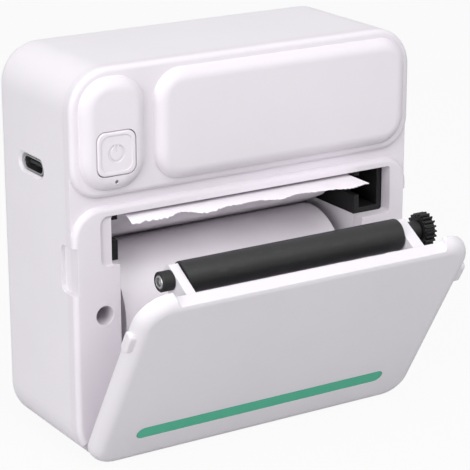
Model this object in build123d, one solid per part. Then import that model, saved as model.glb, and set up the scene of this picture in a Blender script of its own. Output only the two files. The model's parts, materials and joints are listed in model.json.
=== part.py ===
from build123d import *
from math import acos, cos, pi, radians, sin, sqrt, tan
import os

# Portable thermal printer, millimetres. +Z up, front towards -Y, left side -X.
# The origin is the middle of the base, below the middle of the housing's depth.
# The paper door and all it carries are drawn shut, then swung open about the hinge.

# Housing
body_width = 86.0
body_height = 87.0
body_depth = 33.0
corner_radius = 9.0
shell_wall = 2.0
back_edge_radius = 3.2
sill_radius = 3.9
panel_thickness = 2.0
fit_gap = 0.1
running_play = 0.05
side_play = 0.2

# Raised fields of the front panel: the plateau above, the door's seat below
field_rise = 1.25
field_round = 1.2
plateau_bottom = 59.2
plateau_radius = 7.0
seat_bottom = 4.2
seat_top = 57.2
seat_radius = 6.6
pad_rise = 1.95
pad_round = 3.0
pad_wall = 1.6
pad_side_margin = 1.65
pad_foot_margin = 1.4
pad_top_margin = 1.7
small_pad_width = 15.9
pad_split = 1.75
small_pad_radius = 7.0
large_pad_radius = 6.8

# Paper roll and sheet
roll_left_margin = 13.2
roll_right_margin = 15.4
roll_front_margin = 0.5
roll_back_margin = 4.1
roll_z = 29.4
core_radius = 6.0
core_bore_radius = 4.1
core_short = 0.2
cradle_ease = 0.9
roll_play = 0.15
web_thickness = 0.2
web_play = 0.15
leave_angle = 25.0
web_reach_right = 13.8
web_reach_left = 7.2

# Paper mouth and roll bay, measured from the paper's edges
mouth_left_margin = 3.85
mouth_right_margin = 10.65
mouth_sill = 44.1
mouth_top = 55.1
bay_left_margin = 2.25
bay_right_margin = 3.1
bay_floor = 13.4
bay_wall = 0.9
pocket_width = 2.85
pocket_depth = 0.6
pocket_radius = 1.8

# Side grips, screws and the charging port
grip_bottom = 38.6
grip_top = 49.1
grip_reach = 4.5
grip_depth = 1.0
grip_radius = 1.4
screw_hole_radius = 2.12
panel_screw_inset = 7.12
panel_screw_z = 33.3
panel_screw_depth = 6.5
panel_screw_length = 7.5
case_screw_inset = 6.6
case_screw_low = 9.6
case_screw_drop = 6.4
case_screw_grip = 8.0
case_screw_length = 12.5
boss_radius = 2.8
boss_depth = 9.5
screw_shank_radius = 1.0
screw_head_radius = 2.0
screw_head_height = 1.3
port_width = 10.9
port_height = 3.7
port_setback = 17.5
port_z = 63.05
port_chamfer = 0.6
socket_width = 8.9
socket_height = 3.2
socket_length = 7.3
socket_sheet = 0.3
socket_inset = 0.7
tongue_width = 6.6
tongue_thickness = 0.7

# Door
hinge_inset = 1.5
hinge_height = 3.3
open_angle = 30.7
door_gap = 0.05
door_thickness = 3.2
door_skin = 1.6
door_side_wall = 2.0
door_side_margin = 1.1
door_bottom = 1.95
door_top = 54.4
door_top_radius = 7.2
door_bottom_radius = 6.5
door_round = 2.9
scoop_level = 52.8
scoop_side_margin = 9.15
scoop_radius = 1.0
ear_radius = 0.6
tab_bottom = 40.0
tab_height = 5.6
tab_proud = 0.8
tab_depth = 2.4
stripe_side_margin = 10.7
stripe_height = 3.5
stripe_z = 11.9
stripe_depth = 0.5
stripe_x = -0.2
stripe_gap = 0.05
knuckle_radius = 1.8
knuckle_width = 5.0
knuckle_inset = 11.5
knuckle_play = 0.3
hinge_block_width = 15.0
hinge_pin_radius = 0.9
hinge_pin_length = 10.4
liner_thickness = 1.3
liner_margin = 0.3
rib_thickness = 1.2
rib_pitch = 12.0
rib_low = 12.0
rib_high = 42.0

# Platen on the door
platen_setback = 4.8
platen_z = 50.7
platen_radius = 3.5
platen_short_left = 1.8
platen_short_right = 1.3
platen_shaft_radius = 1.5
shaft_recess_radius = 1.0
shaft_recess = 0.8
shaft_pip_radius = 0.45
shaft_proud = 0.05
shaft_tail = 0.7
arm_play = 0.25
left_arm_thickness = 2.25
right_arm_thickness = 2.95
arm_end_radius = 3.1
arm_top = 52.7
arm_foot = 45.4
bushing_radius = 2.15
left_bushing_length = 2.85
right_bushing_length = 2.6

# Gears and the stepper motor
platen_teeth = 20
idler_teeth = 34
pinion_teeth = 12
gear_face = 2.6
gear_backlash = 0.09
gear_mesh_play = 0.05
idler_pin_radius = 1.0
motor_shaft_radius = 0.8
motor_length = 17.0
motor_wall = 1.0
motor_air_gap = 0.5
motor_front_room = 0.24
motor_back_room = 2.76
magnet_short = 2.0

# Print head and its frame
head_gap = 0.55
head_bottom = 50.2
head_height = 7.6
ceramic_thickness = 0.8
sink_thickness = 2.0
sink_top = 58.5
head_pivot_drop = 0.8
pivot_radius = 0.75
frame_plate = 1.3
frame_top = 60.2
frame_beam = 1.3
frame_lip = 6.0
left_plate_margin = 2.2
right_plate_room = 1.2
gear_cover_room = 2.15
slot_play = 0.15
spring_room = 2.95
spring_wall_thickness = 1.4
leaf_thickness = 0.3
leaf_width = 24.0
ribbon_width = 3.5
sensor_x = 17.0
tear_tooth = 1.0
tear_bar_height = 2.0
tear_bar_thickness = 0.8

# Electronics and button
board_thickness = 1.0
board_gap = 0.2
button_width = 9.1
button_height = 9.4
button_z = 69.05
button_radius = 2.0
button_gap = 0.15
button_proud = 0.2
button_flange = 0.6
button_dish_rim = 0.8
button_dish = 0.15
button_board_width = 12.8
sign_radius = 1.95
sign_line = 0.5
sign_depth = 0.2
switch_size = 6.2
switch_height = 2.0
plunger_radius = 1.5
led_z = 62.9
led_hole_radius = 0.4
battery_side_margin = 21.0
battery_right_margin = 11.0
battery_room = 1.0
battery_thickness = 9.0
battery_floor = 66.0
shelf_thickness = 1.3
capacitor_radius = 2.0
capacitor_height = 2.8

# Planes and edges that follow from the housing
front_y = -body_depth / 2
back_y = body_depth / 2
half_width = body_width / 2
panel_back = front_y + panel_thickness
field_front = front_y - field_rise
pad_front = field_front - pad_rise
hinge_y = front_y + hinge_inset
rim_y = field_front - door_gap
door_front = rim_y - door_thickness
door_half_width = half_width - door_side_margin
scoop_half_width = half_width - scoop_side_margin
stripe_length = 2 * (half_width - stripe_side_margin)
knuckle_x = half_width - knuckle_inset
panel_screw_x = half_width - panel_screw_inset
panel_screw_seat = front_y + panel_screw_depth
case_screw_x = half_width - case_screw_inset
case_screw_high = body_height - case_screw_drop
boss_meeting = front_y + boss_depth
case_screw_seat = boss_meeting + case_screw_grip
port_y = front_y + port_setback
socket_left = socket_inset - half_width
battery_left = battery_side_margin - half_width
battery_right = half_width - battery_right_margin
battery_top = body_height - shell_wall - battery_room
small_pad_left = pad_side_margin - half_width
small_pad_right = small_pad_left + small_pad_width
large_pad_left = small_pad_right + pad_split
large_pad_right = half_width - pad_side_margin
pad_low = plateau_bottom + pad_foot_margin
pad_high = body_height - pad_top_margin
button_x = (small_pad_left + small_pad_right) / 2

# Places that follow from the paper
roll_left = roll_left_margin - half_width
roll_right = half_width - roll_right_margin
roll_front = front_y + roll_front_margin
roll_back = back_y - roll_back_margin
roll_radius = (roll_back - roll_front) / 2
roll_y = (roll_back + roll_front) / 2
cradle_radius = roll_radius + cradle_ease
mouth_left = roll_left - mouth_left_margin
mouth_right = roll_right + mouth_right_margin
bay_left = roll_left - bay_left_margin
bay_right = roll_right + bay_right_margin

# The row of parts along the platen, left to right
platen_y = front_y + platen_setback
platen_left = roll_left + platen_short_left
platen_right = roll_right - platen_short_right
left_arm_outer = platen_left - arm_play - left_arm_thickness
right_arm_outer = platen_right + arm_play + right_arm_thickness
left_plate_x = roll_left - left_plate_margin
right_plate_x = right_arm_outer + right_plate_room
right_plate_end = right_plate_x + frame_plate
gear_left = right_plate_end + side_play
gear_right = gear_left + gear_face
gear_cover_x = gear_right + gear_cover_room
gear_cover_end = gear_cover_x + frame_plate
shaft_left = left_arm_outer - left_bushing_length - shaft_proud
shaft_right = gear_right + shaft_tail

# The print head and the gears, front to back
head_front = platen_y + platen_radius + head_gap
sink_front = head_front + ceramic_thickness
sink_back = sink_front + sink_thickness
pivot_y = sink_front + sink_thickness / 2
pivot_z = sink_top - head_pivot_drop
spring_wall_y = sink_back + spring_room
motor_front = spring_wall_y + spring_wall_thickness + motor_front_room
motor_back = back_y - shell_wall - motor_back_room
motor_radius = (motor_back - motor_front) / 2
motor_y = (motor_back + motor_front) / 2
train_teeth = platen_teeth + 2 * idler_teeth + pinion_teeth
gear_module = 2 * (motor_y - platen_y - 2 * gear_mesh_play) / train_teeth
idler_y = platen_y + gear_module * (platen_teeth + idler_teeth) / 2 + gear_mesh_play
frame_front = panel_back + fit_gap
frame_back = back_y - shell_wall - 3 * fit_gap
frame_bottom = mouth_sill - fit_gap
board_z = frame_top + board_gap
board_top = board_z + board_thickness


def block(x0, x1, y0, y1, z0, z1):
    """A box between two corners."""
    return Pos((x0 + x1) / 2, (y0 + y1) / 2, (z0 + z1) / 2) * Box(x1 - x0, y1 - y0, z1 - z0)


def rod_x(x0, x1, y, z, radius):
    """A cylinder along X."""
    return Pos((x0 + x1) / 2, y, z) * Rot(0, 90, 0) * Cylinder(radius, x1 - x0)


def rod_y(x, z, y0, y1, radius):
    """A cylinder along Y."""
    return Pos(x, (y0 + y1) / 2, z) * Rot(90, 0, 0) * Cylinder(radius, y1 - y0)


def slab(sketch, y_back, y_front):
    """A front-view sketch pulled from y_back forwards to y_front."""
    return extrude(Plane.XZ.offset(-y_back) * sketch, y_back - y_front)


def profile_x(sketch, x0, x1):
    """A side-view sketch, drawn in Y and Z, pulled from x0 to x1."""
    return extrude(Plane.YZ.offset(x0) * sketch, x1 - x0)


def field(x0, x1, z0, z1, radius):
    """A rounded rectangle in the front view."""
    return Pos((x0 + x1) / 2, (z0 + z1) / 2) * RectangleRounded(x1 - x0, z1 - z0, radius)


def soft_field(x0, x1, z0, z1, low_radius, high_radius):
    """A rectangle with other corner radii below than above."""
    sketch = Pos((x0 + x1) / 2, (z0 + z1) / 2) * Rectangle(x1 - x0, z1 - z0)
    sketch = fillet(sketch.vertices().group_by(Axis.Y)[0], low_radius)
    corners = [v for v in sketch.vertices() if v.Y > z1 - 0.01]
    return fillet(corners, high_radius)


def opened(shape):
    """Swing what the door carries from shut to its resting angle."""
    return shape.rotate(Axis((0, hinge_y, hinge_height), (1, 0, 0)), open_angle)


def front_edges(shape, y):
    """The edges that lie in the plane across Y at y."""
    box_of = [(e, e.bounding_box()) for e in shape.edges()]
    return [e for e, b in box_of if abs(b.min.Y - y) < 0.01 and abs(b.max.Y - y) < 0.01]


def turned_point(radius, angle):
    """A point on a circle, in the side view, at an angle in radians."""
    return (radius * cos(angle), radius * sin(angle))


def involute(angle):
    return tan(angle) - angle


def gear_sketch(teeth, phase):
    """A spur gear's outline with involute flanks, in the side view."""
    pitch = gear_module * teeth / 2
    base = pitch * cos(radians(20))
    tip = pitch + 0.92 * gear_module
    root = pitch - 1.2 * gear_module
    half_tooth = (pi / 2 - gear_backlash / gear_module / 2) / teeth + involute(radians(20))
    radii = [root, pitch, tip]
    flank = [(r, half_tooth - involute(acos(min(1, base / r)))) for r in radii]
    points = []
    for k in range(teeth):
        middle = phase + 2 * pi * k / teeth
        points += [turned_point(r, middle - a) for r, a in flank]
        points += [turned_point(r, middle + a) for r, a in reversed(flank)]
    return make_face(Polyline(*points, close=True))


def spur_gear(teeth, phase, x0, x1, y, z, bore, web=0.5):
    """A spur gear along X with a sunk web on both faces."""
    gear = profile_x(Pos(y, z) * gear_sketch(teeth, phase), x0, x1)
    rim = gear_module * (teeth - 4.4) / 2
    hub = bore + 0.9
    if rim - hub > 0.5:
        for a, b in ((x0, x0 + web), (x1 - web, x1)):
            gear -= rod_x(a, b, y, z, rim) - rod_x(a, b, y, z, hub)
    return gear - rod_x(x0, x1, y, z, bore)


def housing_outline(inset=0.0):
    return field(-half_width + inset, half_width - inset, inset, body_height - inset, corner_radius - inset)


def sill_cutter():
    """What the long lower front edge loses, so that the door's foot swings past it."""
    corner = block(-body_width, body_width, front_y - sill_radius, front_y + sill_radius, -1, sill_radius)
    return corner - rod_x(-body_width, body_width, front_y + sill_radius, sill_radius, sill_radius)


def knuckle_windows():
    """Room for the door's two hinge knuckles in the lower front edge."""
    reach = knuckle_radius + knuckle_play + 0.2
    half = knuckle_width / 2 + knuckle_play
    windows = [block(side * knuckle_x - half, side * knuckle_x + half, front_y - 3, hinge_y + reach,
                     -1, hinge_height + reach) for side in (-1, 1)]
    return windows[0] + windows[1]


def grip_cutters():
    """The thumb recess on each side, open to the front."""
    pair = Part()
    for side in (-1, 1):
        middle = side * (half_width - grip_depth + 2)
        hollow = block(middle - 2, middle + 2, field_front - 1, front_y + grip_reach, grip_bottom, grip_top)
        pair += fillet(hollow.edges().filter_by(Axis.X).group_by(Axis.Y)[-1], grip_radius)
    return pair


def case_screw_places():
    return [(side * case_screw_x, z) for side in (-1, 1) for z in (case_screw_low, case_screw_high)]


def panel_screw_places():
    return [(side * panel_screw_x, panel_screw_z) for side in (-1, 1)]


def rear_shell():
    """The deep back casing: a tub with screw tubes, a battery shelf and the charging port."""
    shell = slab(housing_outline(), back_y, panel_back)
    shell = fillet(front_edges(shell, back_y), back_edge_radius)
    shell -= slab(housing_outline(shell_wall), back_y - shell_wall, panel_back)
    for x, z in case_screw_places():
        shell += rod_y(x, z, boss_meeting, back_y - shell_wall, boss_radius) & slab(
            housing_outline(0.5), back_y, panel_back)
        shell -= rod_y(x, z, case_screw_seat, back_y + 1, screw_head_radius + 0.3)
        shell -= rod_y(x, z, boss_meeting - 1, case_screw_seat, screw_shank_radius + 0.15)
    for x, z in panel_screw_places():
        shell += rod_y(x, z, panel_screw_seat + 1.6, back_y - shell_wall, boss_radius)
        shell -= rod_y(x, z, panel_screw_seat, panel_screw_seat + 8, screw_shank_radius - 0.1)
    shelf = block(battery_left, battery_right, back_y - shell_wall - battery_thickness - 1,
                  back_y - shell_wall, battery_floor - fit_gap - shelf_thickness, battery_floor - fit_gap)
    shell += shelf
    shell -= sill_cutter()
    shell -= knuckle_windows()
    shell -= grip_cutters()
    return shell - port_cutter()


def port_outline(grow):
    return Pos(port_y, port_z) * RectangleRounded(port_width + 2 * grow, port_height + 2 * grow,
                                                  port_height / 2 + grow - 0.01)


def port_cutter():
    """The oval charging-port hole with its bevelled mouth."""
    hole = profile_x(port_outline(0), -half_width - 1, -half_width + shell_wall + 1)
    mouth = loft([Plane.YZ.offset(-half_width - 0.02) * port_outline(port_chamfer),
                  Plane.YZ.offset(-half_width + port_chamfer) * port_outline(0)])
    return hole + mouth


def pads():
    """The two soft pads on the plateau, hollow behind."""
    small = field(small_pad_left, small_pad_right, pad_low, pad_high, small_pad_radius)
    large = field(large_pad_left, large_pad_right, pad_low, pad_high, large_pad_radius)
    solids = []
    for sketch in (small, large):
        pad = slab(sketch, front_y, pad_front)
        solids.append(fillet(front_edges(pad, pad_front), pad_round))
    return solids


def pad_hollow(x0, x1, radius):
    rim = pad_wall + 0.2
    return slab(field(x0 + rim, x1 - rim, pad_low + rim, pad_high - rim, radius - rim),
                panel_back, pad_front + pad_wall)


def mouth_cutter():
    """The wide upper throat and the narrower paper bay below it."""
    throat = field(mouth_left, mouth_right, mouth_sill, mouth_top, 0.8)
    bay = field(bay_left, bay_right, bay_floor, mouth_sill + 2, 1.5)
    return slab(throat + bay, panel_back + 1, field_front - 1)


def raised_field(low, high, corner_level, radius):
    """The housing's outline between two levels, with the corners at one level rounded."""
    sketch = housing_outline() & (Pos(0, (low + high) / 2) * Rectangle(body_width, high - low))
    corners = [v for v in sketch.vertices() if abs(v.Y - corner_level) < 0.01]
    plate = slab(fillet(corners, radius), panel_back, field_front)
    return fillet(front_edges(plate, field_front), field_round)


def front_panel():
    """The front moulding: plateau, pads, door seat, paper mouth and hinge windows."""
    panel = slab(housing_outline(), panel_back, front_y)
    panel += raised_field(plateau_bottom, body_height, plateau_bottom, plateau_radius)
    panel += raised_field(seat_bottom, seat_top, seat_top, seat_radius)
    for pad in pads():
        panel += pad
    panel -= pad_hollow(small_pad_left, small_pad_right, small_pad_radius)
    panel -= pad_hollow(large_pad_left, large_pad_right, large_pad_radius)
    panel -= slab(button_outline(button_gap), panel_back, pad_front - 1)
    panel -= rod_y(button_x, led_z, pad_front - 1, panel_back, led_hole_radius)
    for side in (-1, 1):
        middle, half = side * knuckle_x, hinge_block_width / 2
        hinge_block = block(middle - half, middle + half, panel_back - 0.5, hinge_y + 3.2, shell_wall + fit_gap,
                            hinge_height + 3.6)
        panel += hinge_block & slab(housing_outline(shell_wall + fit_gap), back_y, front_y)
    for x, z in case_screw_places():
        panel += rod_y(x, z, panel_back - 0.5, boss_meeting - fit_gap, boss_radius) & slab(
            housing_outline(shell_wall + fit_gap), back_y, front_y)
        panel -= rod_y(x, z, panel_back + 0.2, boss_meeting, screw_shank_radius - 0.1)
    for x, z in panel_screw_places():
        panel += rod_y(x, z, panel_back - 0.5, panel_screw_seat + 1.5, boss_radius)
        panel -= rod_y(x, z, field_front - 1, panel_screw_seat, screw_hole_radius)
        panel -= rod_y(x, z, panel_screw_seat, panel_screw_seat + 2, screw_shank_radius + 0.15)
    panel -= mouth_cutter()
    pocket = field(mouth_left - pocket_width, mouth_left + 4, mouth_sill, mouth_top, pocket_radius)
    panel -= slab(pocket, field_front + pocket_depth, field_front - 1)
    panel -= sill_cutter()
    panel -= knuckle_windows()
    panel -= grip_cutters()
    for side in (-1, 1):
        half = hinge_pin_length / 2 + 0.1
        panel -= rod_x(side * knuckle_x - half, side * knuckle_x + half, hinge_y, hinge_height,
                       hinge_pin_radius + 0.03)
    return panel


def roll_bay():
    """The inner tub that cradles the paper roll."""
    front = panel_back + fit_gap
    back = back_y - shell_wall - fit_gap
    tub = block(bay_left - bay_wall, bay_right + bay_wall, front, back, bay_floor - 0.6, mouth_sill - fit_gap)
    hollow = block(bay_left, bay_right, front - 1, back - bay_wall, roll_z, mouth_sill + 1)
    cradle = rod_x(bay_left, bay_right, roll_y, roll_z - roll_radius - roll_play + cradle_radius, cradle_radius)
    hollow += cradle & block(bay_left, bay_right, front - 1, back - bay_wall, 0, mouth_sill)
    return tub - hollow


def button_outline(grow):
    return field(button_x - button_width / 2 - grow, button_x + button_width / 2 + grow,
                 button_z - button_height / 2 - grow, button_z + button_height / 2 + grow, button_radius)


def power_button():
    """The square cap with its retaining flange, stem and engraved standby sign."""
    inside = pad_front + pad_wall
    cap = slab(button_outline(0), inside + 0.8, pad_front - button_proud)
    cap = fillet(front_edges(cap, pad_front - button_proud), 0.35)
    cap += slab(button_outline(button_flange), inside + fit_gap + 0.8, inside + fit_gap)
    dish_floor = pad_front - button_proud + button_dish
    cap -= slab(button_outline(-button_dish_rim), dish_floor, pad_front - 2)
    ring = Circle(sign_radius) - Circle(sign_radius - sign_line)
    gap = Pos(0, sign_radius) * Rectangle(1.3, 2.0)
    bar = Pos(0, 1.1) * RectangleRounded(sign_line, 1.6, sign_line / 2 - 0.01)
    sign = Pos(button_x, button_z) * (ring - gap + bar)
    return cap - slab(sign, dish_floor + sign_depth, pad_front - 2)


def switch_plunger():
    """The stem between the cap and the switch."""
    start = pad_front + pad_wall + fit_gap + 0.8
    return rod_y(button_x, button_z, start, switch_front() + 0.4, plunger_radius)


def button_board_front():
    return panel_back + fit_gap


def switch_front():
    return button_board_front() - switch_height


def button_board():
    front = button_board_front()
    half = button_board_width / 2
    return block(button_x - half, button_x + half, front, front + board_thickness, board_top + 0.2,
                 button_z + switch_size / 2 + 1.4)


def tactile_switch():
    half = switch_size / 2
    body = block(button_x - half, button_x + half, switch_front(), button_board_front(), button_z - half,
                 button_z + half)
    return body - rod_y(button_x, button_z, switch_front() - 1, switch_front() + 1.5, plunger_radius + 0.2)


def status_led():
    front = button_board_front()
    return block(button_x - 0.8, button_x + 0.8, front - 0.7, front, led_z - 0.4, led_z + 0.4)


def light_pipe():
    """The clear rod from the lamp to the pinhole."""
    inside = pad_front + pad_wall
    rod = rod_y(button_x, led_z, inside + fit_gap, button_board_front() - 0.8, 0.45)
    return rod + rod_y(button_x, led_z, pad_front + 1.2, inside + fit_gap, led_hole_radius - 0.06)


def main_board():
    edge = shell_wall + 0.4
    return block(-half_width + edge, half_width - edge, frame_front + 2, back_y - shell_wall - 0.4, board_z,
                 board_top)


def board_chips():
    """The controller, the radio module, the driver, two capacitors and the battery socket."""
    sizes = [(2, 2, 8, 8, 1.0), (22, 6, 12, 8, 1.6), (-12, 6, 5, 6, 1.4), (14, -5, 7.6, 4, 2.4)]
    chips = Part()
    for x, y, wide, deep, high in sizes:
        chips += block(x - wide / 2, x + wide / 2, y - deep / 2, y + deep / 2, board_top, board_top + high)
    for x in (-20.0, -26.0):
        chips += Pos(x, 7, board_top + capacitor_height / 2) * Cylinder(capacitor_radius, capacitor_height)
    return chips


def usb_shell():
    """The drawn steel mouth of the charging socket on its solder frame."""
    middle = Pos(port_y, port_z)
    clear_width, clear_height = socket_width - 2 * socket_sheet, socket_height - 2 * socket_sheet
    outer = middle * RectangleRounded(socket_width, socket_height, socket_height / 2 - 0.01)
    inner = middle * RectangleRounded(clear_width, clear_height, clear_height / 2 - 0.01)
    end = socket_left + socket_length
    tube = profile_x(outer, socket_left, end) - profile_x(inner, socket_left - 1, end - 0.7)
    return tube + block(socket_left + 2.5, end - 0.8, port_y - socket_width / 2, port_y + socket_width / 2,
                        board_top, port_z - socket_height / 2 + socket_sheet)


def usb_tongue():
    return block(socket_left + 0.9, socket_left + socket_length - 0.7, port_y - tongue_width / 2,
                 port_y + tongue_width / 2, port_z - tongue_thickness / 2, port_z + tongue_thickness / 2)


def battery_pack():
    back = back_y - shell_wall - fit_gap
    cell = block(battery_left, battery_right, back - battery_thickness, back, battery_floor, battery_top)
    return fillet(cell.edges().filter_by(Axis.X), 2.5)


def mechanism_frame():
    """The black chassis: side plates with roller slots, gear cover, beam and spring wall."""
    frame = Part()
    for x in (left_plate_x, right_plate_x):
        frame += block(x, x + frame_plate, frame_front, frame_back, frame_bottom, frame_top)
    frame += block(gear_cover_x, gear_cover_end, frame_front, frame_back, frame_bottom, frame_top)
    roof = frame_top - frame_beam
    frame += block(right_plate_x, gear_cover_end, frame_front, frame_back, roof, frame_top)
    frame += block(right_plate_x, gear_cover_end, frame_front, frame_front + frame_lip, frame_bottom,
                   frame_bottom + frame_plate)
    frame += block(left_plate_x, right_plate_x, frame_front + 2, head_front - 0.6, roof, frame_top)
    frame += block(left_plate_x, right_plate_x, spring_wall_y, spring_wall_y + spring_wall_thickness,
                   platen_z + 1, frame_top)
    slot = bushing_radius + slot_play
    for x in (left_plate_x, right_plate_x):
        frame -= rod_x(x, x + frame_plate, platen_y, platen_z, slot)
        frame -= block(x, x + frame_plate, frame_front, platen_y, platen_z - slot, platen_z + slot)
        frame -= rod_x(x, x + frame_plate, pivot_y, pivot_z, pivot_radius + running_play)
    for x in (right_plate_x, gear_cover_x):
        frame -= rod_x(x, x + frame_plate, idler_y, platen_z, idler_pin_radius + 0.02)
    return frame - rod_x(right_plate_x, right_plate_end, motor_y, platen_z, motor_shaft_radius + 0.4)


def print_head():
    """The ceramic strip with its raised heater line."""
    strip = block(platen_left + 0.2, platen_right - 0.2, head_front, sink_front, head_bottom,
                  head_bottom + head_height)
    return strip


def head_heat_sink():
    """The aluminium carrier with fins behind and a pivot stub at each end."""
    left, right = platen_left - 0.2, platen_right + 0.2
    sink = block(left, right, sink_front, sink_back, head_bottom, sink_top)
    for k in range(11):
        x = left + 3 + k * (right - left - 6) / 10
        sink -= block(x - 0.9, x + 0.9, sink_back - 0.8, sink_back, head_bottom, head_bottom + 2.2)
    sink += rod_x(left_plate_x + 0.2, left, pivot_y, pivot_z, pivot_radius)
    return sink + rod_x(right, right_plate_end - 0.1, pivot_y, pivot_z, pivot_radius)


def band(points, thickness):
    """A thin strip drawn along points, thickened to the left of its direction."""
    line = Polyline(*points)
    outer = []
    count = len(points)
    for k in range(count):
        before, after = points[max(k - 1, 0)], points[min(k + 1, count - 1)]
        dy, dz = after[0] - before[0], after[1] - before[1]
        span = sqrt(dy * dy + dz * dz)
        outer.append((points[k][0] - dz / span * thickness, points[k][1] + dy / span * thickness))
    return make_face(Polyline(*points, *reversed(outer), close=True))


def leaf_spring():
    """The bent steel leaf that presses the print head forwards."""
    wall, sink = spring_wall_y - 0.05, sink_back + 0.05
    knee = sink + leaf_thickness
    points = [(wall, 58.4), (wall, 56.8), (knee, 53.4), (knee, 52.6), (wall - 0.6, 51.4)]
    middle = (platen_left + platen_right) / 2
    return profile_x(band(points, -leaf_thickness), middle - leaf_width / 2, middle + leaf_width / 2)


def head_ribbon():
    """The flat cable from the head up to the board."""
    middle = (platen_left + platen_right) / 2
    right = middle - leaf_width / 2 - 1.5
    return block(right - ribbon_width, right, sink_back + 0.02, sink_back + 0.22, 55.0, board_z)


def tear_bar():
    """The serrated strip under the mouth's upper edge."""
    left, right = mouth_left + 3.5, right_plate_x - 1.5
    count = int((right - left) / tear_tooth)
    root = mouth_top + 0.35
    points = []
    for k in range(count):
        points += [(left + k * tear_tooth, root), (left + (k + 0.5) * tear_tooth, mouth_top - 0.2)]
    points += [(left + count * tear_tooth, root), (left + count * tear_tooth, root + tear_bar_height),
               (left, root + tear_bar_height)]
    front = panel_back + fit_gap
    return slab(make_face(Polyline(*points, close=True)), front + tear_bar_thickness, front)


def idler_gear():
    return spur_gear(idler_teeth, pi / idler_teeth, gear_left, gear_right, idler_y, platen_z,
                     idler_pin_radius + running_play)


def idler_pin():
    return rod_x(right_plate_x, gear_cover_end, idler_y, platen_z, idler_pin_radius)


def stepper_motor():
    """The round can with room for its rotor, its front plate and the mounting ear."""
    end = right_plate_x
    lid = 0.8
    back = end - motor_length
    can = rod_x(back, end - lid, motor_y, platen_z, motor_radius)
    can += rod_x(end - lid, end, motor_y, platen_z, motor_radius - 1)
    can += block(end - lid, end, motor_y - 1.8, motor_y + 1.8, platen_z - 2, frame_top - frame_beam - 0.3)
    can -= rod_x(back + motor_wall, end - lid - motor_wall, motor_y, platen_z, motor_radius - motor_wall)
    return can - rod_x(back + motor_wall / 2, end, motor_y, platen_z, motor_shaft_radius + running_play)


def rotor_magnet():
    """The motor's magnet drum on its shaft."""
    x0 = right_plate_x - motor_length + motor_wall + magnet_short
    x1 = right_plate_x - motor_wall - magnet_short
    drum = rod_x(x0, x1, motor_y, platen_z, motor_radius - motor_wall - motor_air_gap)
    return drum - rod_x(x0, x1, motor_y, platen_z, motor_shaft_radius + 0.01)


def motor_pinion():
    """The motor's shaft with its pinion."""
    pinion = spur_gear(pinion_teeth, 0.0, gear_left, gear_right, motor_y, platen_z, 0.4)
    back = right_plate_x - motor_length + motor_wall / 2 + side_play
    return pinion + rod_x(back, gear_right + 0.8, motor_y, platen_z, motor_shaft_radius)


def paper_sensor():
    wall_foot = platen_z + 1
    return block(sensor_x - 3, sensor_x + 3, spring_wall_y - 0.9, spring_wall_y + 0.9, wall_foot - 1.8, wall_foot)


def paper_roll():
    return rod_x(roll_left, roll_right, roll_y, roll_z, roll_radius) - rod_x(
        roll_left, roll_right, roll_y, roll_z, core_radius + 0.02)


def roll_core():
    return rod_x(roll_left + core_short, roll_right - core_short, roll_y, roll_z, core_radius) - rod_x(
        roll_left, roll_right, roll_y, roll_z, core_bore_radius)


def arc_points(y, z, radius, start, end, steps):
    """Points along an arc in the side view, angles in degrees."""
    turns = [radians(start + (end - start) * k / steps) for k in range(steps + 1)]
    return [(y + radius * cos(a), z + radius * sin(a)) for a in turns]


def web_line():
    """The sheet's inner side: off the roll, up behind the shut platen, over it and out."""
    lift = radians(leave_angle)
    wrap = platen_radius + web_play
    leave = roll_radius + web_play
    foot = (roll_y + leave * sin(lift), roll_z + leave * cos(lift))
    back = platen_y + wrap
    bend = ((platen_z - foot[1]) * cos(lift) - (foot[0] - back) * sin(lift)) / (1 - sin(lift))
    points = [foot]
    points += arc_points(back + bend, platen_z, bend, 270 - leave_angle, 180, 8)
    points += arc_points(platen_y, platen_z, wrap, 0, 90, 10)[1:]
    return points + [(platen_y - web_reach_right - 2, platen_z + wrap)]


def torn_edge():
    """The slanting torn edge seen from above, left to right."""
    steps = [0.0, 0.5, -0.3, 0.4, -0.5, 0.3, -0.2, 0.6, -0.4, 0.2, -0.3, 0.4, 0.0]
    count = len(steps) - 1
    left, right = platen_y - web_reach_left, platen_y - web_reach_right
    return [(roll_left + (roll_right - roll_left) * k / count, left + (right - left) * k / count + steps[k])
            for k in range(count + 1)]


def paper_web():
    sheet = profile_x(band(web_line(), -web_thickness), roll_left, roll_right)
    far = platen_y - web_reach_right - 4
    outline = Polyline((roll_left - 1, far), (roll_left - 1, platen_y - web_reach_left), *torn_edge(),
                       (roll_right + 1, platen_y - web_reach_right), (roll_right + 1, far), close=True)
    waste = extrude(Plane.XY.offset(platen_z + platen_radius - 1) * make_face(outline), 3)
    return sheet - waste


def door_outline(inset=0.0):
    """The door's front view before the scoop is taken out of its upper edge."""
    return soft_field(-door_half_width + inset, door_half_width - inset, door_bottom + inset,
                      door_top - inset, door_bottom_radius - inset, door_top_radius - inset)


def scoop_outline(grow=0.0):
    """What the upper edge loses between the two ears."""
    reach = scoop_half_width + grow
    level = scoop_level - grow
    top = door_top - grow
    sketch = Pos(0, level + 10) * Rectangle(2 * reach, 20)
    sketch = fillet(sketch.vertices().group_by(Axis.Y)[0], scoop_radius)
    for side in (-1, 1):
        edge = side * reach
        corner = Pos(edge + side * ear_radius / 2, top - ear_radius / 2) * Rectangle(ear_radius, ear_radius)
        sketch += corner - Pos(edge + side * ear_radius, top - ear_radius) * Circle(ear_radius)
    return sketch


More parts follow.
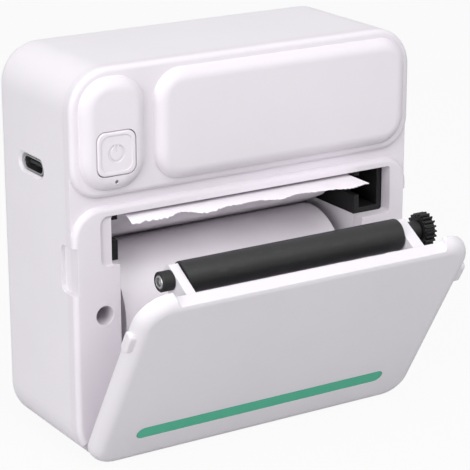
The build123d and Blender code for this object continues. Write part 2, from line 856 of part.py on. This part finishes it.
def knuckle(side):
    """One hinge knuckle and the foot that joins it to the door's lower rim."""
    x0, x1 = side * knuckle_x - knuckle_width / 2, side * knuckle_x + knuckle_width / 2
    eye = rod_x(x0, x1, hinge_y, hinge_height, knuckle_radius)
    eye += block(x0, x1, rim_y - 1.2, hinge_y, hinge_height - 0.6, hinge_height + knuckle_radius)
    return eye - rod_x(x0, x1, hinge_y, hinge_height, hinge_pin_radius + running_play)


def grip_tab(side):
    """A soft pill on the door's side that a finger pulls."""
    sketch = Pos(rim_y - tab_depth / 2, tab_bottom + tab_height / 2) * RectangleRounded(
        tab_depth, tab_height, tab_depth / 2 - 0.01)
    outer = door_half_width + tab_proud
    pill = profile_x(sketch, door_half_width - 1, outer)
    pill = fillet(pill.faces().sort_by(Axis.X)[-1].edges(), tab_proud * 0.6)
    return pill if side > 0 else mirror(pill, Plane.YZ)


def door_cover():
    """The dished outer skin with its grip tabs and hinge knuckles."""
    cover = slab(door_outline(), rim_y, door_front)
    cover = fillet(front_edges(cover, door_front), door_round)
    hollow = slab(door_outline(door_side_wall), rim_y, door_front + door_skin)
    hollow -= slab(scoop_outline(door_side_wall), rim_y + 1, door_front - 1)
    cover -= hollow
    cover -= slab(scoop_outline(), rim_y + 1, door_front - 1)
    for side in (-1, 1):
        cover += grip_tab(side)
        cover += knuckle(side)
    return cover - slab(stripe_outline(stripe_gap), door_front + stripe_depth, door_front - 1)


def stripe_outline(grow):
    half = stripe_length / 2 + grow
    return field(stripe_x - half, stripe_x + half, stripe_z - stripe_height / 2 - grow,
                 stripe_z + stripe_height / 2 + grow, stripe_height / 2 + grow - 0.01)


def door_stripe():
    """The coloured inlay near the door's foot."""
    return slab(stripe_outline(0), door_front + stripe_depth, door_front + stripe_gap)


def arm_sketch():
    """One roller arm in the side view."""
    end = Pos(platen_y, platen_z) * Circle(arm_end_radius)
    bar = make_face(Polyline((rim_y - 1.0, arm_top), (platen_y, arm_top), (platen_y + 1.2, platen_z - 2.8),
                             (platen_y - 2.0, platen_z - 3.6), (rim_y - 1.0, arm_foot), close=True))
    roof = Pos(platen_y, arm_top + 10) * Rectangle(30, 20)
    under_rim = scoop_level - door_side_wall - liner_margin
    notch = Pos(rim_y + 0.05 - 5, under_rim + 5) * Rectangle(10, 10)
    return end + bar - roof - notch


def door_frame():
    """The inner liner with the two arms that carry the roller."""
    inner = door_side_wall + liner_margin
    back = rim_y - 0.1
    liner = slab(door_outline(inner), back, back - liner_thickness)
    liner -= slab(scoop_outline(inner), back + 1, back - liner_thickness - 1)
    arms = ((left_arm_outer, left_arm_thickness), (right_arm_outer - right_arm_thickness, right_arm_thickness))
    for x, thick in arms:
        liner += profile_x(arm_sketch(), x, x + thick)
        liner -= rod_x(x, x + thick, platen_y, platen_z, platen_shaft_radius + running_play)
    foot = hinge_height + knuckle_radius + 0.4
    for side in (-1, 1):
        liner -= block(side * knuckle_x - knuckle_width / 2 - 0.3, side * knuckle_x + knuckle_width / 2 + 0.3,
                       rim_y - 3, rim_y + 1, 0, foot)
    for k in range(-2, 3):
        x = k * rib_pitch
        liner += block(x - rib_thickness / 2, x + rib_thickness / 2, back - 0.3, rim_y, rib_low, rib_high)
    return liner


def platen_rubber():
    return rod_x(platen_left, platen_right, platen_y, platen_z, platen_radius) - rod_x(
        platen_left, platen_right, platen_y, platen_z, platen_shaft_radius + 0.01)


def platen_shaft():
    """The steel shaft, its left end turned out to a rim round a small centre pip."""
    shaft = rod_x(shaft_left, shaft_right, platen_y, platen_z, platen_shaft_radius)
    shaft = chamfer(shaft.edges().filter_by(GeomType.CIRCLE).sort_by(Axis.X)[0], 0.2)
    shaft -= rod_x(shaft_left, shaft_left + shaft_recess, platen_y, platen_z, shaft_recess_radius)
    return shaft + rod_x(shaft_left + shaft_recess / 3, shaft_left + shaft_recess, platen_y, platen_z,
                         shaft_pip_radius)


def bushing(x0, x1):
    ring = rod_x(x0, x1, platen_y, platen_z, bushing_radius)
    ring = chamfer(ring.edges().filter_by(GeomType.CIRCLE), 0.2)
    return ring - rod_x(x0, x1, platen_y, platen_z, platen_shaft_radius + running_play)


def platen_gear():
    return spur_gear(platen_teeth, 0.0, gear_left, gear_right, platen_y, platen_z,
                     platen_shaft_radius + 0.01, 0.6)


def hinge_pin(side):
    half = hinge_pin_length / 2
    return rod_x(side * knuckle_x - half, side * knuckle_x + half, hinge_y, hinge_height, hinge_pin_radius)


def pan_screw(x, z, seat, tip):
    """A pan-head screw with a cross recess, its head towards the tool."""
    out = 1 if seat > tip else -1
    top = seat + out * screw_head_height
    head = rod_y(x, z, min(seat, top), max(seat, top), screw_head_radius)
    shank = rod_y(x, z, min(seat, tip), max(seat, tip), screw_shank_radius - 0.12)
    recess = slab(Pos(x, z) * (Rectangle(2.2, 0.5) + Rectangle(0.5, 2.2)), max(top, top - out * 0.7),
                  min(top, top - out * 0.7))
    return head + shank - recess


def screws(places, seat, tip):
    group = [pan_screw(x, z, seat, tip) for x, z in places]
    return Compound(children=group)


def bushings():
    left = bushing(left_arm_outer - left_bushing_length, left_arm_outer)
    right = bushing(right_arm_outer, right_arm_outer + right_bushing_length)
    return left, right


def hinge_pins():
    return Compound(children=[hinge_pin(-1), hinge_pin(1)])


def all_nodes():
    """Every piece of the printer by name, in its resting place."""
    left_bushing, right_bushing = bushings()
    return {
        "rear_shell": rear_shell(),
        "front_panel": front_panel(),
        "roll_bay": roll_bay(),
        "mechanism_frame": mechanism_frame(),
        "idler_pin": idler_pin(),
        "stepper_motor": stepper_motor(),
        "tear_bar": tear_bar(),
        "leaf_spring": leaf_spring(),
        "head_ribbon": head_ribbon(),
        "paper_sensor": paper_sensor(),
        "paper_web": paper_web(),
        "main_board": main_board(),
        "board_chips": board_chips(),
        "usb_shell": usb_shell(),
        "usb_tongue": usb_tongue(),
        "battery_pack": battery_pack(),
        "button_board": button_board(),
        "tactile_switch": tactile_switch(),
        "status_led": status_led(),
        "light_pipe": light_pipe(),
        "hinge_pins": hinge_pins(),
        "case_screws": screws(case_screw_places(), case_screw_seat, case_screw_seat - case_screw_length),
        "panel_screws": screws(panel_screw_places(), panel_screw_seat, panel_screw_seat + panel_screw_length),
        "door_cover": opened(door_cover()),
        "door_frame": opened(door_frame()),
        "door_stripe": opened(door_stripe()),
        "platen_bushing_left": opened(left_bushing),
        "platen_bushing_right": opened(right_bushing),
        "platen_shaft": opened(platen_shaft()),
        "platen_rubber": opened(platen_rubber()),
        "platen_gear": opened(platen_gear()),
        "paper_roll": paper_roll(),
        "roll_core": roll_core(),
        "idler_gear": idler_gear(),
        "motor_pinion": motor_pinion(),
        "rotor_magnet": rotor_magnet(),
        "print_head": print_head(),
        "head_heat_sink": head_heat_sink(),
        "power_button": power_button(),
        "switch_plunger": switch_plunger(),
    }


os.makedirs("parts", exist_ok=True)
for name, shape in all_nodes().items():
    shape.label = name
    export_step(shape, "parts/" + name + ".step")
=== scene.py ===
import json
import math
import random

import bpy
from mathutils import Matrix, Vector


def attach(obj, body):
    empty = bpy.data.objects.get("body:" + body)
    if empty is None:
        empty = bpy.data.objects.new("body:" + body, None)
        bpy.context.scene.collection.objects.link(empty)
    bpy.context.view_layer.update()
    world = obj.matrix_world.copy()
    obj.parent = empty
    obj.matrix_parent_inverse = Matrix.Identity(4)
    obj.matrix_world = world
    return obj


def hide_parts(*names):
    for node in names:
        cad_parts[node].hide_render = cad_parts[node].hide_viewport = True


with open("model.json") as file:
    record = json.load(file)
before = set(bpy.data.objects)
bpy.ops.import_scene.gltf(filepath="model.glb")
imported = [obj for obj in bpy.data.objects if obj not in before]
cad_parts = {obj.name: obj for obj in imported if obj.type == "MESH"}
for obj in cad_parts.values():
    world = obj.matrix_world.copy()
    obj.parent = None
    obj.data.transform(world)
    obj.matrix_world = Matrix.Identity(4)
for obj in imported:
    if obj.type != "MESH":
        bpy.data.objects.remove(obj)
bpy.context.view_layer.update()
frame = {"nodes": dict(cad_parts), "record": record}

MM = 0.001

# The paper roll and the nip it feeds, in millimetres
ROLL_Y = -1.8
ROLL_Z = 29.4
ROLL_R = 14.2
TURN_PITCH = 0.14
NIP_Y = -11.7
NIP_Z = 50.7
NIP_R = 3.65

# The paper web: its size, the way it leaves the roll and its torn edge
LEAVE = math.radians(25)
LEAVE_PLAY = 0.15
WEB_LEFT = -29.8
WEB_WIDTH = 57.4
WEB_THICK = 0.12
WEB_ACROSS = 230
WEB_AHEAD = 22
TORN_LEFT = 7.2
TORN_GAIN = 6.6
DROOP_START = 4.0
DROOP_MOST = 1.3


class Num:
    """A number over a surface, so that shader maths reads as plain Python."""

    def __init__(self, paint, socket):
        self.paint = paint
        self.socket = socket

    def __add__(self, other):
        return self.paint.maths("ADD", self, other)

    def __sub__(self, other):
        return self.paint.maths("SUBTRACT", self, other)

    def __rsub__(self, other):
        return self.paint.maths("SUBTRACT", other, self)

    def __mul__(self, other):
        return self.paint.maths("MULTIPLY", self, other)

    def __truediv__(self, other):
        return self.paint.maths("DIVIDE", self, other)

    def __pow__(self, other):
        return self.paint.maths("POWER", self, other)

    __radd__ = __add__
    __rmul__ = __mul__

    def sine(self):
        return self.paint.maths("SINE", self)


class Paint:
    """One material, with its shader and a short way to add nodes."""

    def __init__(self, name):
        self.material = bpy.data.materials.new(name)
        self.material.use_nodes = True
        self.tree = self.material.node_tree
        self.skin = self.tree.nodes["Principled BSDF"]
        self.place = self.node("ShaderNodeTexCoord", {}, {}, "Object").socket

    def node(self, kind, settings, feeds, out=0):
        made = self.tree.nodes.new(kind)
        for key, value in settings.items():
            if key == "stops":
                ramp = made.color_ramp.elements
                while len(ramp) < len(value):
                    ramp.new(0.5)
                for stop, (at, colour) in zip(ramp, value):
                    stop.position = at
                    stop.color = (*colour, 1)
            else:
                setattr(made, key, value)
        for key, value in feeds.items():
            self.feed(made.inputs[key], value)
        return Num(self, made.outputs[out])

    def feed(self, socket, value):
        value = value.socket if isinstance(value, Num) else value
        if isinstance(value, bpy.types.NodeSocket):
            self.tree.links.new(value, socket)
        elif isinstance(value, tuple) and len(value) == 3 and socket.type == "RGBA":
            socket.default_value = (*value, 1)
        else:
            socket.default_value = value

    def maths(self, operation, *terms):
        return self.node("ShaderNodeMath", {"operation": operation}, dict(enumerate(terms)))

    def set(self, **values):
        for key, value in values.items():
            self.feed(self.skin.inputs[key.replace("_", " ")], value)

    def stretched(self, stretch):
        """The place on the piece in millimetres, each axis times its stretch."""
        feeds = {0: self.place, 1: tuple(1000 * s for s in stretch)}
        return self.node("ShaderNodeVectorMath", {"operation": "MULTIPLY"}, feeds)

    def noise(self, size, detail=2.0, stretch=(1, 1, 1), rough=0.5):
        """Cloudy noise between 0 and 1; size is the spacing in millimetres."""
        feeds = {"Vector": self.stretched(stretch), "Scale": 1 / size, "Detail": detail, "Roughness": rough}
        return self.node("ShaderNodeTexNoise", {}, feeds)

    def cells(self, size, feature="F1", out="Distance"):
        feeds = {"Vector": self.stretched((1, 1, 1)), "Scale": 1 / size}
        return self.node("ShaderNodeTexVoronoi", {"feature": feature}, feeds, out)

    def band(self, value, low, high):
        """0 below low, 1 above high, smooth between."""
        feeds = {"Value": value, "From Min": low, "From Max": high}
        return self.node("ShaderNodeMapRange", {"interpolation_type": "SMOOTHSTEP"}, feeds)

    def blend(self, factor, first, second):
        feeds = {0: factor, 6: first, 7: second}
        return self.node("ShaderNodeMix", {"data_type": "RGBA"}, feeds, 2)

    def soft_normal(self, radius):
        """The surface direction as if each sharp edge were rounded by radius millimetres."""
        return self.node("ShaderNodeBevel", {"samples": 6}, {"Radius": radius * MM})

    def edges(self, radius):
        """1 near a sharp edge, 0 away from it."""
        rounded = self.soft_normal(radius)
        true = self.node("ShaderNodeNewGeometry", {}, {}, "Normal")
        alike = self.node("ShaderNodeVectorMath", {"operation": "DOT_PRODUCT"}, {0: rounded, 1: true}, 1)
        return self.band(alike, 0.995, 0.86)

    def bump(self, height, depth, normal=None):
        """Relief of depth millimetres from a height between 0 and 1."""
        feeds = {"Height": height, "Distance": depth * MM, "Strength": 1.0}
        if normal is not None:
            feeds["Normal"] = normal
        self.set(Normal=self.node("ShaderNodeBump", {}, feeds))


def moulded(name, colour, shade=0.9, rough=0.5, grain=0.16, depth=0.012, edge=0.18, dirt=0.0):
    """Injection-moulded plastic: eroded grain, faint flow clouds, and edges worn smoother with a painted
    highlight lightening their colour.
    """
    paint = Paint(name)
    clouds = paint.noise(23.0, 3.0)
    fine = paint.noise(grain, 2.0)
    # Mask along the edges: worn smoother in roughness, and a painted highlight in colour
    rubbed_and_lit_edge = paint.edges(edge * 1.8)
    dark = tuple(c * shade for c in colour)
    tint = paint.blend(paint.band(clouds, 0.25, 0.75), dark, colour)
    speck = paint.band(paint.noise(0.9, 1.0), 0.68, 0.76) * 0.05
    soil = dirt * paint.band(paint.noise(7.0, 4.0), 0.5, 0.8)
    tint = paint.blend(speck + soil, tint, tuple(c * 0.55 for c in colour))
    # Painted highlight: the colour is lightened along the edges; the smoother roughness there is wear
    paint.set(Base_Color=paint.blend(rubbed_and_lit_edge * 0.25, tint, tuple(min(1, c * 1.08) for c in colour)))
    paint.set(Roughness=rough + 0.09 * (fine - 0.5) + 0.05 * (clouds - 0.5) - 0.14 * rubbed_and_lit_edge)
    paint.set(Specular_IOR_Level=0.42)
    paint.bump(fine, depth, paint.soft_normal(edge))
    return paint.material


def ground_rubber(name):
    """Black roller rubber with the rings its grinding leaves and a little paper dust."""
    paint = Paint(name)
    rings = paint.noise(0.22, 1.0, (1, 0.02, 0.02))
    dust = paint.band(paint.noise(0.8, 4.0, (0.35, 1, 1)), 0.56, 0.8)
    ink = paint.blend(paint.noise(9.0), (0.006, 0.0062, 0.0068), (0.010, 0.0104, 0.0112))
    paint.set(Base_Color=paint.blend(dust * 0.05, ink, (0.32, 0.32, 0.33)))
    paint.set(Roughness=0.43 + 0.16 * (rings - 0.5) + 0.2 * dust)
    paint.bump(rings, 0.012)
    return paint.material


def rolled_metal(name, colour, rough=0.3, stretch=(0.04, 1, 1), wear=0.1):
    """Metal with drawing lines, dulled patches and a painted highlight lightening its edges."""
    paint = Paint(name)
    lines = paint.noise(0.12, 2.0, stretch)
    dull = paint.noise(2.6, 3.0)
    edge_highlight = paint.edges(0.2)
    dark = tuple(c * 0.72 for c in colour)
    tint = paint.blend(paint.band(dull, 0.35, 0.7), colour, dark)
    # Painted highlight: the colour is lightened along every edge
    paint.set(Base_Color=paint.blend(edge_highlight * 0.5, tint, tuple(min(1, c * 1.25) for c in colour)))
    paint.set(Metallic=1.0, Roughness=rough + 0.14 * (lines - 0.5) + wear * dull)
    paint.bump(lines, 0.006, paint.soft_normal(0.08))
    return paint.material


def coated_paper(name, colour, back):
    """Thermal paper: smooth coating over faint fibres."""
    paint = Paint(name)
    fibres = paint.noise(0.35, 4.0, (1, 0.4, 0.4))
    cloud = paint.noise(6.0, 3.0)
    paint.set(Base_Color=paint.blend(paint.band(cloud, 0.3, 0.75), colour, back))
    paint.set(Roughness=0.47 + 0.12 * (fibres - 0.5), Specular_IOR_Level=0.35)
    paint.bump(fibres, 0.01)
    return paint.material


def wound_paper(name, colour, axis_y, axis_z, radius):
    """The roll: coated paper outside, thin wound turns on its ends."""
    paint = Paint(name)
    place = paint.node("ShaderNodeSeparateXYZ", {}, {0: paint.place}, "Y")
    high = Num(paint, place.socket.node.outputs["Z"])
    across = place * 1000 - axis_y
    up = high * 1000 - axis_z
    reach = (across * across + up * up) ** 0.5
    turns = (reach * (2 * math.pi / TURN_PITCH)).sine() * 0.5 + 0.5
    uneven = paint.band(paint.noise(0.5, 2.0, (0.1, 1, 1)), 0.3, 0.7)
    ends = paint.band(reach, radius - 0.04, radius - 0.1)
    mark = turns * uneven * ends
    paint.set(Base_Color=paint.blend(mark * 0.45, colour, tuple(c * 0.6 for c in colour)))
    fibres = paint.noise(0.35, 4.0, (1, 0.4, 0.4))
    paint.set(Roughness=0.5 + 0.1 * (fibres - 0.5), Specular_IOR_Level=0.35)
    paint.bump(mark + 0.3 * fibres, 0.02)
    return paint.material


def wound_card(name):
    """The roll's core of grey-brown wound board."""
    paint = Paint(name)
    fibre = paint.noise(0.5, 5.0, (0.3, 1, 1))
    paint.set(Base_Color=paint.blend(fibre, (0.33, 0.26, 0.19), (0.5, 0.42, 0.32)))
    paint.set(Roughness=0.75 + 0.15 * (fibre - 0.5))
    paint.bump(fibre, 0.04)
    return paint.material


def inlay(name, colour):
    """The smooth coloured line, with painted shade darkening its edges."""
    paint = Paint(name)
    rim_shade = paint.edges(0.5)
    cloud = paint.noise(12.0, 2.0)
    tint = paint.blend(cloud, colour, tuple(c * 0.9 for c in colour))
    # Painted shade: the colour darkens along the line's edges, where it meets its groove
    paint.set(Base_Color=paint.blend(rim_shade, tint, tuple(c * 0.55 for c in colour)))
    paint.set(Roughness=0.36 + 0.1 * (cloud - 0.5))
    paint.bump(paint.noise(0.2, 1.0), 0.004, paint.soft_normal(0.12))
    return paint.material


def circuit(name):
    """Green solder resist with tracks showing through."""
    paint = Paint(name)
    tracks = paint.band(paint.cells(2.4, "DISTANCE_TO_EDGE"), 0.12, 0.06)
    cloud = paint.noise(5.0, 2.0)
    mask = paint.blend(cloud, (0.005, 0.075, 0.03), (0.008, 0.1, 0.04))
    paint.set(Base_Color=paint.blend(tracks * 0.7, mask, (0.03, 0.19, 0.06)))
    paint.set(Roughness=0.33 + 0.12 * (cloud - 0.5))
    paint.bump(tracks, 0.03)
    return paint.material


def crinkled_foil(name):
    """The battery's pouch: soft silver laminate, creased along its seams."""
    paint = Paint(name)
    crease = paint.noise(3.0, 3.0, (1, 0.6, 1))
    paint.set(Base_Color=paint.blend(crease, (0.5, 0.51, 0.53), (0.66, 0.67, 0.69)))
    paint.set(Metallic=0.75, Roughness=0.36 + 0.2 * (crease - 0.5))
    paint.bump(crease, 0.12, paint.soft_normal(0.3))
    return paint.material


def fired_ceramic(name):
    """The head's glazed strip with its darker heater line."""
    paint = Paint(name)
    high = paint.node("ShaderNodeSeparateXYZ", {}, {0: paint.place}, "Z") * 1000
    line = paint.band(high, 50.9, 51.0) * paint.band(high, 51.9, 51.8)
    cloud = paint.noise(4.0, 3.0)
    body = paint.blend(cloud, (0.62, 0.58, 0.46), (0.7, 0.67, 0.55))
    paint.set(Base_Color=paint.blend(line, body, (0.07, 0.05, 0.04)))
    paint.set(Roughness=0.25 + 0.15 * cloud)
    paint.bump(paint.noise(0.4, 2.0), 0.006, paint.soft_normal(0.1))
    return paint.material


def amber_film(name):
    """Polyimide ribbon with fine copper lines along it."""
    paint = Paint(name)
    across = paint.node("ShaderNodeSeparateXYZ", {}, {0: paint.place}, "X") * (1000 * 2 * math.pi / 0.4)
    line = paint.band(across.sine(), 0.1, 0.4)
    paint.set(Base_Color=paint.blend(line, (0.42, 0.19, 0.03), (0.6, 0.33, 0.12)))
    paint.set(Roughness=0.3 + 0.1 * line)
    paint.bump(line, 0.02)
    return paint.material


def frosted(name):
    """The light pipe and the lamp: milky clear plastic."""
    paint = Paint(name)
    cloud = paint.noise(0.5, 2.0)
    paint.set(Base_Color=paint.blend(cloud, (0.2, 0.2, 0.19), (0.28, 0.28, 0.27)))
    paint.set(Roughness=0.3 + 0.2 * cloud)
    return paint.material


WHITE = (0.8, 0.772, 0.815)
FINISHES = {
    "shell_plastic": moulded("white_shell", WHITE, 0.975),
    "panel_plastic": moulded("white_panel", (0.78, 0.735, 0.79), 0.975, rough=0.47),
    "black_plastic": moulded("black_chassis", (0.008, 0.008, 0.009), 0.8, rough=0.55),
    "button_plastic": moulded("white_button", (0.8, 0.755, 0.81), 0.98, rough=0.42, depth=0.006),
    "green_inlay": inlay("green_line", (0.062, 0.5, 0.31)),
    "clear_plastic": frosted("milky_clear"),
    "gear_plastic": moulded("black_acetal", (0.009, 0.009, 0.01), 0.8, rough=0.45, edge=0.08),
    "platen_rubber": ground_rubber("ground_rubber"),
    "steel": rolled_metal("ground_steel", (0.55, 0.55, 0.56), 0.28),
    "screw_steel": rolled_metal("zinc_screw", (0.4, 0.4, 0.42), 0.34, (1, 0.1, 1)),
    "spring_steel": rolled_metal("spring_leaf", (0.6, 0.59, 0.56), 0.24, (1, 1, 0.05)),
    "plated_brass": rolled_metal("motor_can", (0.62, 0.62, 0.62), 0.33),
    "sink_aluminium": rolled_metal("head_carrier", (0.7, 0.7, 0.71), 0.38),
    "ceramic": fired_ceramic("head_ceramic"),
    "board": circuit("green_board"),
    "component_black": moulded("chip_epoxy", (0.02, 0.02, 0.022), 0.8, rough=0.55, edge=0.1),
    "film": amber_film("ribbon_film"),
    "battery_wrap": crinkled_foil("pouch_foil"),
    "thermal_paper": wound_paper("roll_paper", (0.9, 0.855, 0.905), ROLL_Y, ROLL_Z, ROLL_R),
    "core_card": wound_card("core_board"),
    "ferrite": moulded("rotor_ferrite", (0.05, 0.05, 0.055), 0.8, rough=0.45, edge=0.1),
}
slots = {entry["node"]: entry["material_slot"] for entry in frame["record"]["subparts"]}
for node_name, node_object in frame["nodes"].items():
    for place in range(max(1, len(node_object.material_slots))):
        if not node_object.material_slots:
            node_object.data.materials.append(None)
        node_object.material_slots[place].material = FINISHES[slots[node_name]]


def new_mesh(name, corners, faces, smooth=True):
    mesh = bpy.data.meshes.new(name)
    mesh.from_pydata([Vector(c) * MM for c in corners], [], faces)
    mesh.validate()
    for face in mesh.polygons:
        face.use_smooth = smooth
    made = bpy.data.objects.new(name, mesh)
    bpy.context.scene.collection.objects.link(made)
    return made


def web_path():
    """The inner line of the sheet as far as the crown over the shut roller."""
    leave = ROLL_R + LEAVE_PLAY
    foot = (ROLL_Y + leave * math.sin(LEAVE), ROLL_Z + leave * math.cos(LEAVE))
    back = NIP_Y + NIP_R
    bend = ((NIP_Z - foot[1]) * math.cos(LEAVE) - (foot[0] - back) * math.sin(LEAVE)) / (1 - math.sin(LEAVE))
    start = (back + bend * (1 - math.sin(LEAVE)), NIP_Z - bend * math.cos(LEAVE))
    line = [tuple(foot[i] + (start[i] - foot[i]) * k / 12 for i in (0, 1)) for k in range(12)]
    for k in range(15):
        turn = math.radians(245 - 65 * k / 14)
        line.append((back + bend + bend * math.cos(turn), NIP_Z + bend * math.sin(turn)))
    for k in range(1, 17):
        turn = math.radians(90 * k / 16)
        line.append((NIP_Y + NIP_R * math.cos(turn), NIP_Z + NIP_R * math.sin(turn)))
    return line


def torn_reach(share, chance):
    """How far forward of the crown the sheet is torn, left to right."""
    coarse = 0.55 * math.sin(share * 23 + 0.4) + 0.4 * math.sin(share * 41 + 2.0)
    return TORN_LEFT + TORN_GAIN * share + coarse + chance.uniform(-0.28, 0.28)


def paper_web():
    """The sheet off the roll, over the nip and out of the mouth to its torn edge."""
    chance = random.Random(4)
    path = web_path()
    corners = []
    for i in range(WEB_ACROSS + 1):
        share = i / WEB_ACROSS
        x = WEB_LEFT + WEB_WIDTH * share
        reach = torn_reach(share, chance)
        line = list(path)
        for k in range(1, WEB_AHEAD + 1):
            run = reach * k / WEB_AHEAD
            past = max(0.0, run - DROOP_START)
            droop = 0.11 * past ** 2 * (1 - share) ** 4
            ripple = 0.05 * math.sin(share * 9 + 1.0) * min(1, past / 4)
            line.append((NIP_Y - run, NIP_Z + NIP_R - min(DROOP_MOST, droop) + ripple))
        for y, z in line:
            corners.append((x, y, z))
    rows = len(path) + WEB_AHEAD
    faces = []
    for i in range(WEB_ACROSS):
        for k in range(rows - 1):
            a = i * rows + k
            faces.append((a, a + rows, a + rows + 1, a + 1))
    web = new_mesh("torn_web", corners, faces)
    thick = web.modifiers.new("thickness", "SOLIDIFY")
    thick.thickness = WEB_THICK * MM
    thick.offset = -1 if web.data.polygons[0].normal.z > 0 else 1
    web.data.materials.append(coated_paper("web_paper", (0.89, 0.85, 0.895), (0.85, 0.81, 0.86)))
    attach(web, "housing")
    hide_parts("paper_web")
    return web


paper_web()


# The camera's direction in degrees, its place in millimetres and its lens in pixels of the photograph
CAMERA_AZIMUTH = -32.15
CAMERA_ELEVATION = 17.83
CAMERA_ROLL = -0.07
CAMERA_SIDE = -1.26
CAMERA_TOP = 41.31
CAMERA_BACK = 461.73
CAMERA_ORIGIN = (0, -16.5, 0.6)
PHOTO_PIXELS = 470
LENS_PIXELS = 2039.0
CENTRE_ACROSS = 239.57
CENTRE_DOWN = 238.41
SENSOR = 36


def photo_camera():
    """The camera at the place and with the lens that the photograph's perspective gives."""
    azimuth = math.radians(CAMERA_AZIMUTH)
    elevation = math.radians(CAMERA_ELEVATION)
    roll = math.radians(CAMERA_ROLL)
    back = Vector((math.sin(azimuth) * math.cos(elevation), -math.cos(azimuth) * math.cos(elevation),
                   math.sin(elevation)))
    right = Vector((math.cos(azimuth), math.sin(azimuth), 0))
    up = back.cross(right)
    side = right * math.cos(roll) + up * math.sin(roll)
    top = up * math.cos(roll) - right * math.sin(roll)
    place = side * CAMERA_SIDE + top * CAMERA_TOP + back * CAMERA_BACK + Vector(CAMERA_ORIGIN)
    camera = bpy.data.objects.new("camera", bpy.data.cameras.new("camera"))
    camera.matrix_world = Matrix.Translation(place * MM) @ Matrix((side, top, back)).transposed().to_4x4()
    camera.data.lens = LENS_PIXELS / PHOTO_PIXELS * SENSOR
    camera.data.shift_x = (PHOTO_PIXELS / 2 - CENTRE_ACROSS) / PHOTO_PIXELS
    camera.data.shift_y = (CENTRE_DOWN - PHOTO_PIXELS / 2) / PHOTO_PIXELS
    camera.data.clip_start = 0.01
    camera.data.clip_end = 20
    bpy.context.scene.collection.objects.link(camera)
    bpy.context.scene.camera = camera


photo_camera()


def softbox(name, place, aim, size, power):
    """A square studio lamp pointed at a spot."""
    lamp = bpy.data.objects.new(name, bpy.data.lights.new(name, "AREA"))
    lamp.data.shape = "SQUARE"
    lamp.data.size = size
    lamp.data.energy = power
    lamp.location = place
    lamp.rotation_mode = "QUATERNION"
    lamp.rotation_quaternion = (Vector(aim) - Vector(place)).to_track_quat("-Z", "Y")
    bpy.context.scene.collection.objects.link(lamp)


# Lamps in metres and watts, all aimed at the middle of the printer
MIDDLE = (0, -0.01, 0.045)
WORLD_STRENGTH = 0.3
FLOOR_REACH = 3000
FLOOR_GLOW = 0.93
softbox("overhead", (-0.1, -0.15, 0.75), MIDDLE, 0.7, 2.3)
softbox("left_fill", (-0.8, -0.35, 0.3), MIDDLE, 0.6, 4.5)
softbox("high_front", (0.05, -0.62, 0.62), MIDDLE, 0.5, 2.9)
softbox("front_fill", (0.25, -0.85, 0.35), MIDDLE, 0.6, 0.3)


def studio():
    """A pale floor that keeps the shadow, and a white background for the camera."""
    world = bpy.data.worlds.new("studio")
    bpy.context.scene.world = world
    world.use_nodes = True
    tree = world.node_tree
    plain = tree.nodes["Background"]
    plain.inputs["Color"].default_value = (1, 0.99, 1, 1)
    plain.inputs["Strength"].default_value = WORLD_STRENGTH
    white = tree.nodes.new("ShaderNodeBackground")
    white.inputs["Strength"].default_value = 1.0
    light = tree.nodes.new("ShaderNodeLightPath")
    either = tree.nodes.new("ShaderNodeMath")
    either.operation = "MAXIMUM"
    also = tree.nodes.new("ShaderNodeMath")
    also.operation = "MAXIMUM"
    mix = tree.nodes.new("ShaderNodeMixShader")
    links = tree.links
    links.new(light.outputs["Is Camera Ray"], either.inputs[0])
    links.new(light.outputs["Is Glossy Ray"], either.inputs[1])
    links.new(either.outputs[0], also.inputs[0])
    links.new(light.outputs["Is Transmission Ray"], also.inputs[1])
    links.new(also.outputs[0], mix.inputs[0])
    links.new(plain.outputs[0], mix.inputs[1])
    links.new(white.outputs[0], mix.inputs[2])
    links.new(mix.outputs[0], tree.nodes["World Output"].inputs["Surface"])

    corners = [(x * FLOOR_REACH, y * FLOOR_REACH, 0) for x, y in ((-1, -1), (1, -1), (1, 1), (-1, 1))]
    floor = new_mesh("floor", corners, [(0, 1, 2, 3)], False)
    paint = Paint("pale_floor")
    tint = paint.blend(paint.noise(400.0), (0.52, 0.52, 0.53), (0.54, 0.54, 0.54))
    paint.set(Base_Color=tint, Roughness=0.8)
    glow = paint.tree.nodes.new("ShaderNodeEmission")
    camera_ray = paint.node("ShaderNodeLightPath", {}, {}, "Is Camera Ray")
    feeds = {0: camera_ray * FLOOR_GLOW, 1: paint.skin.outputs[0], 2: glow.outputs[0]}
    seen = paint.node("ShaderNodeMixShader", {}, feeds)
    paint.tree.links.new(seen.socket, paint.tree.nodes["Material Output"].inputs["Surface"])
    floor.data.materials.append(paint.material)


studio()
bpy.context.scene.view_settings.view_transform = "Standard"
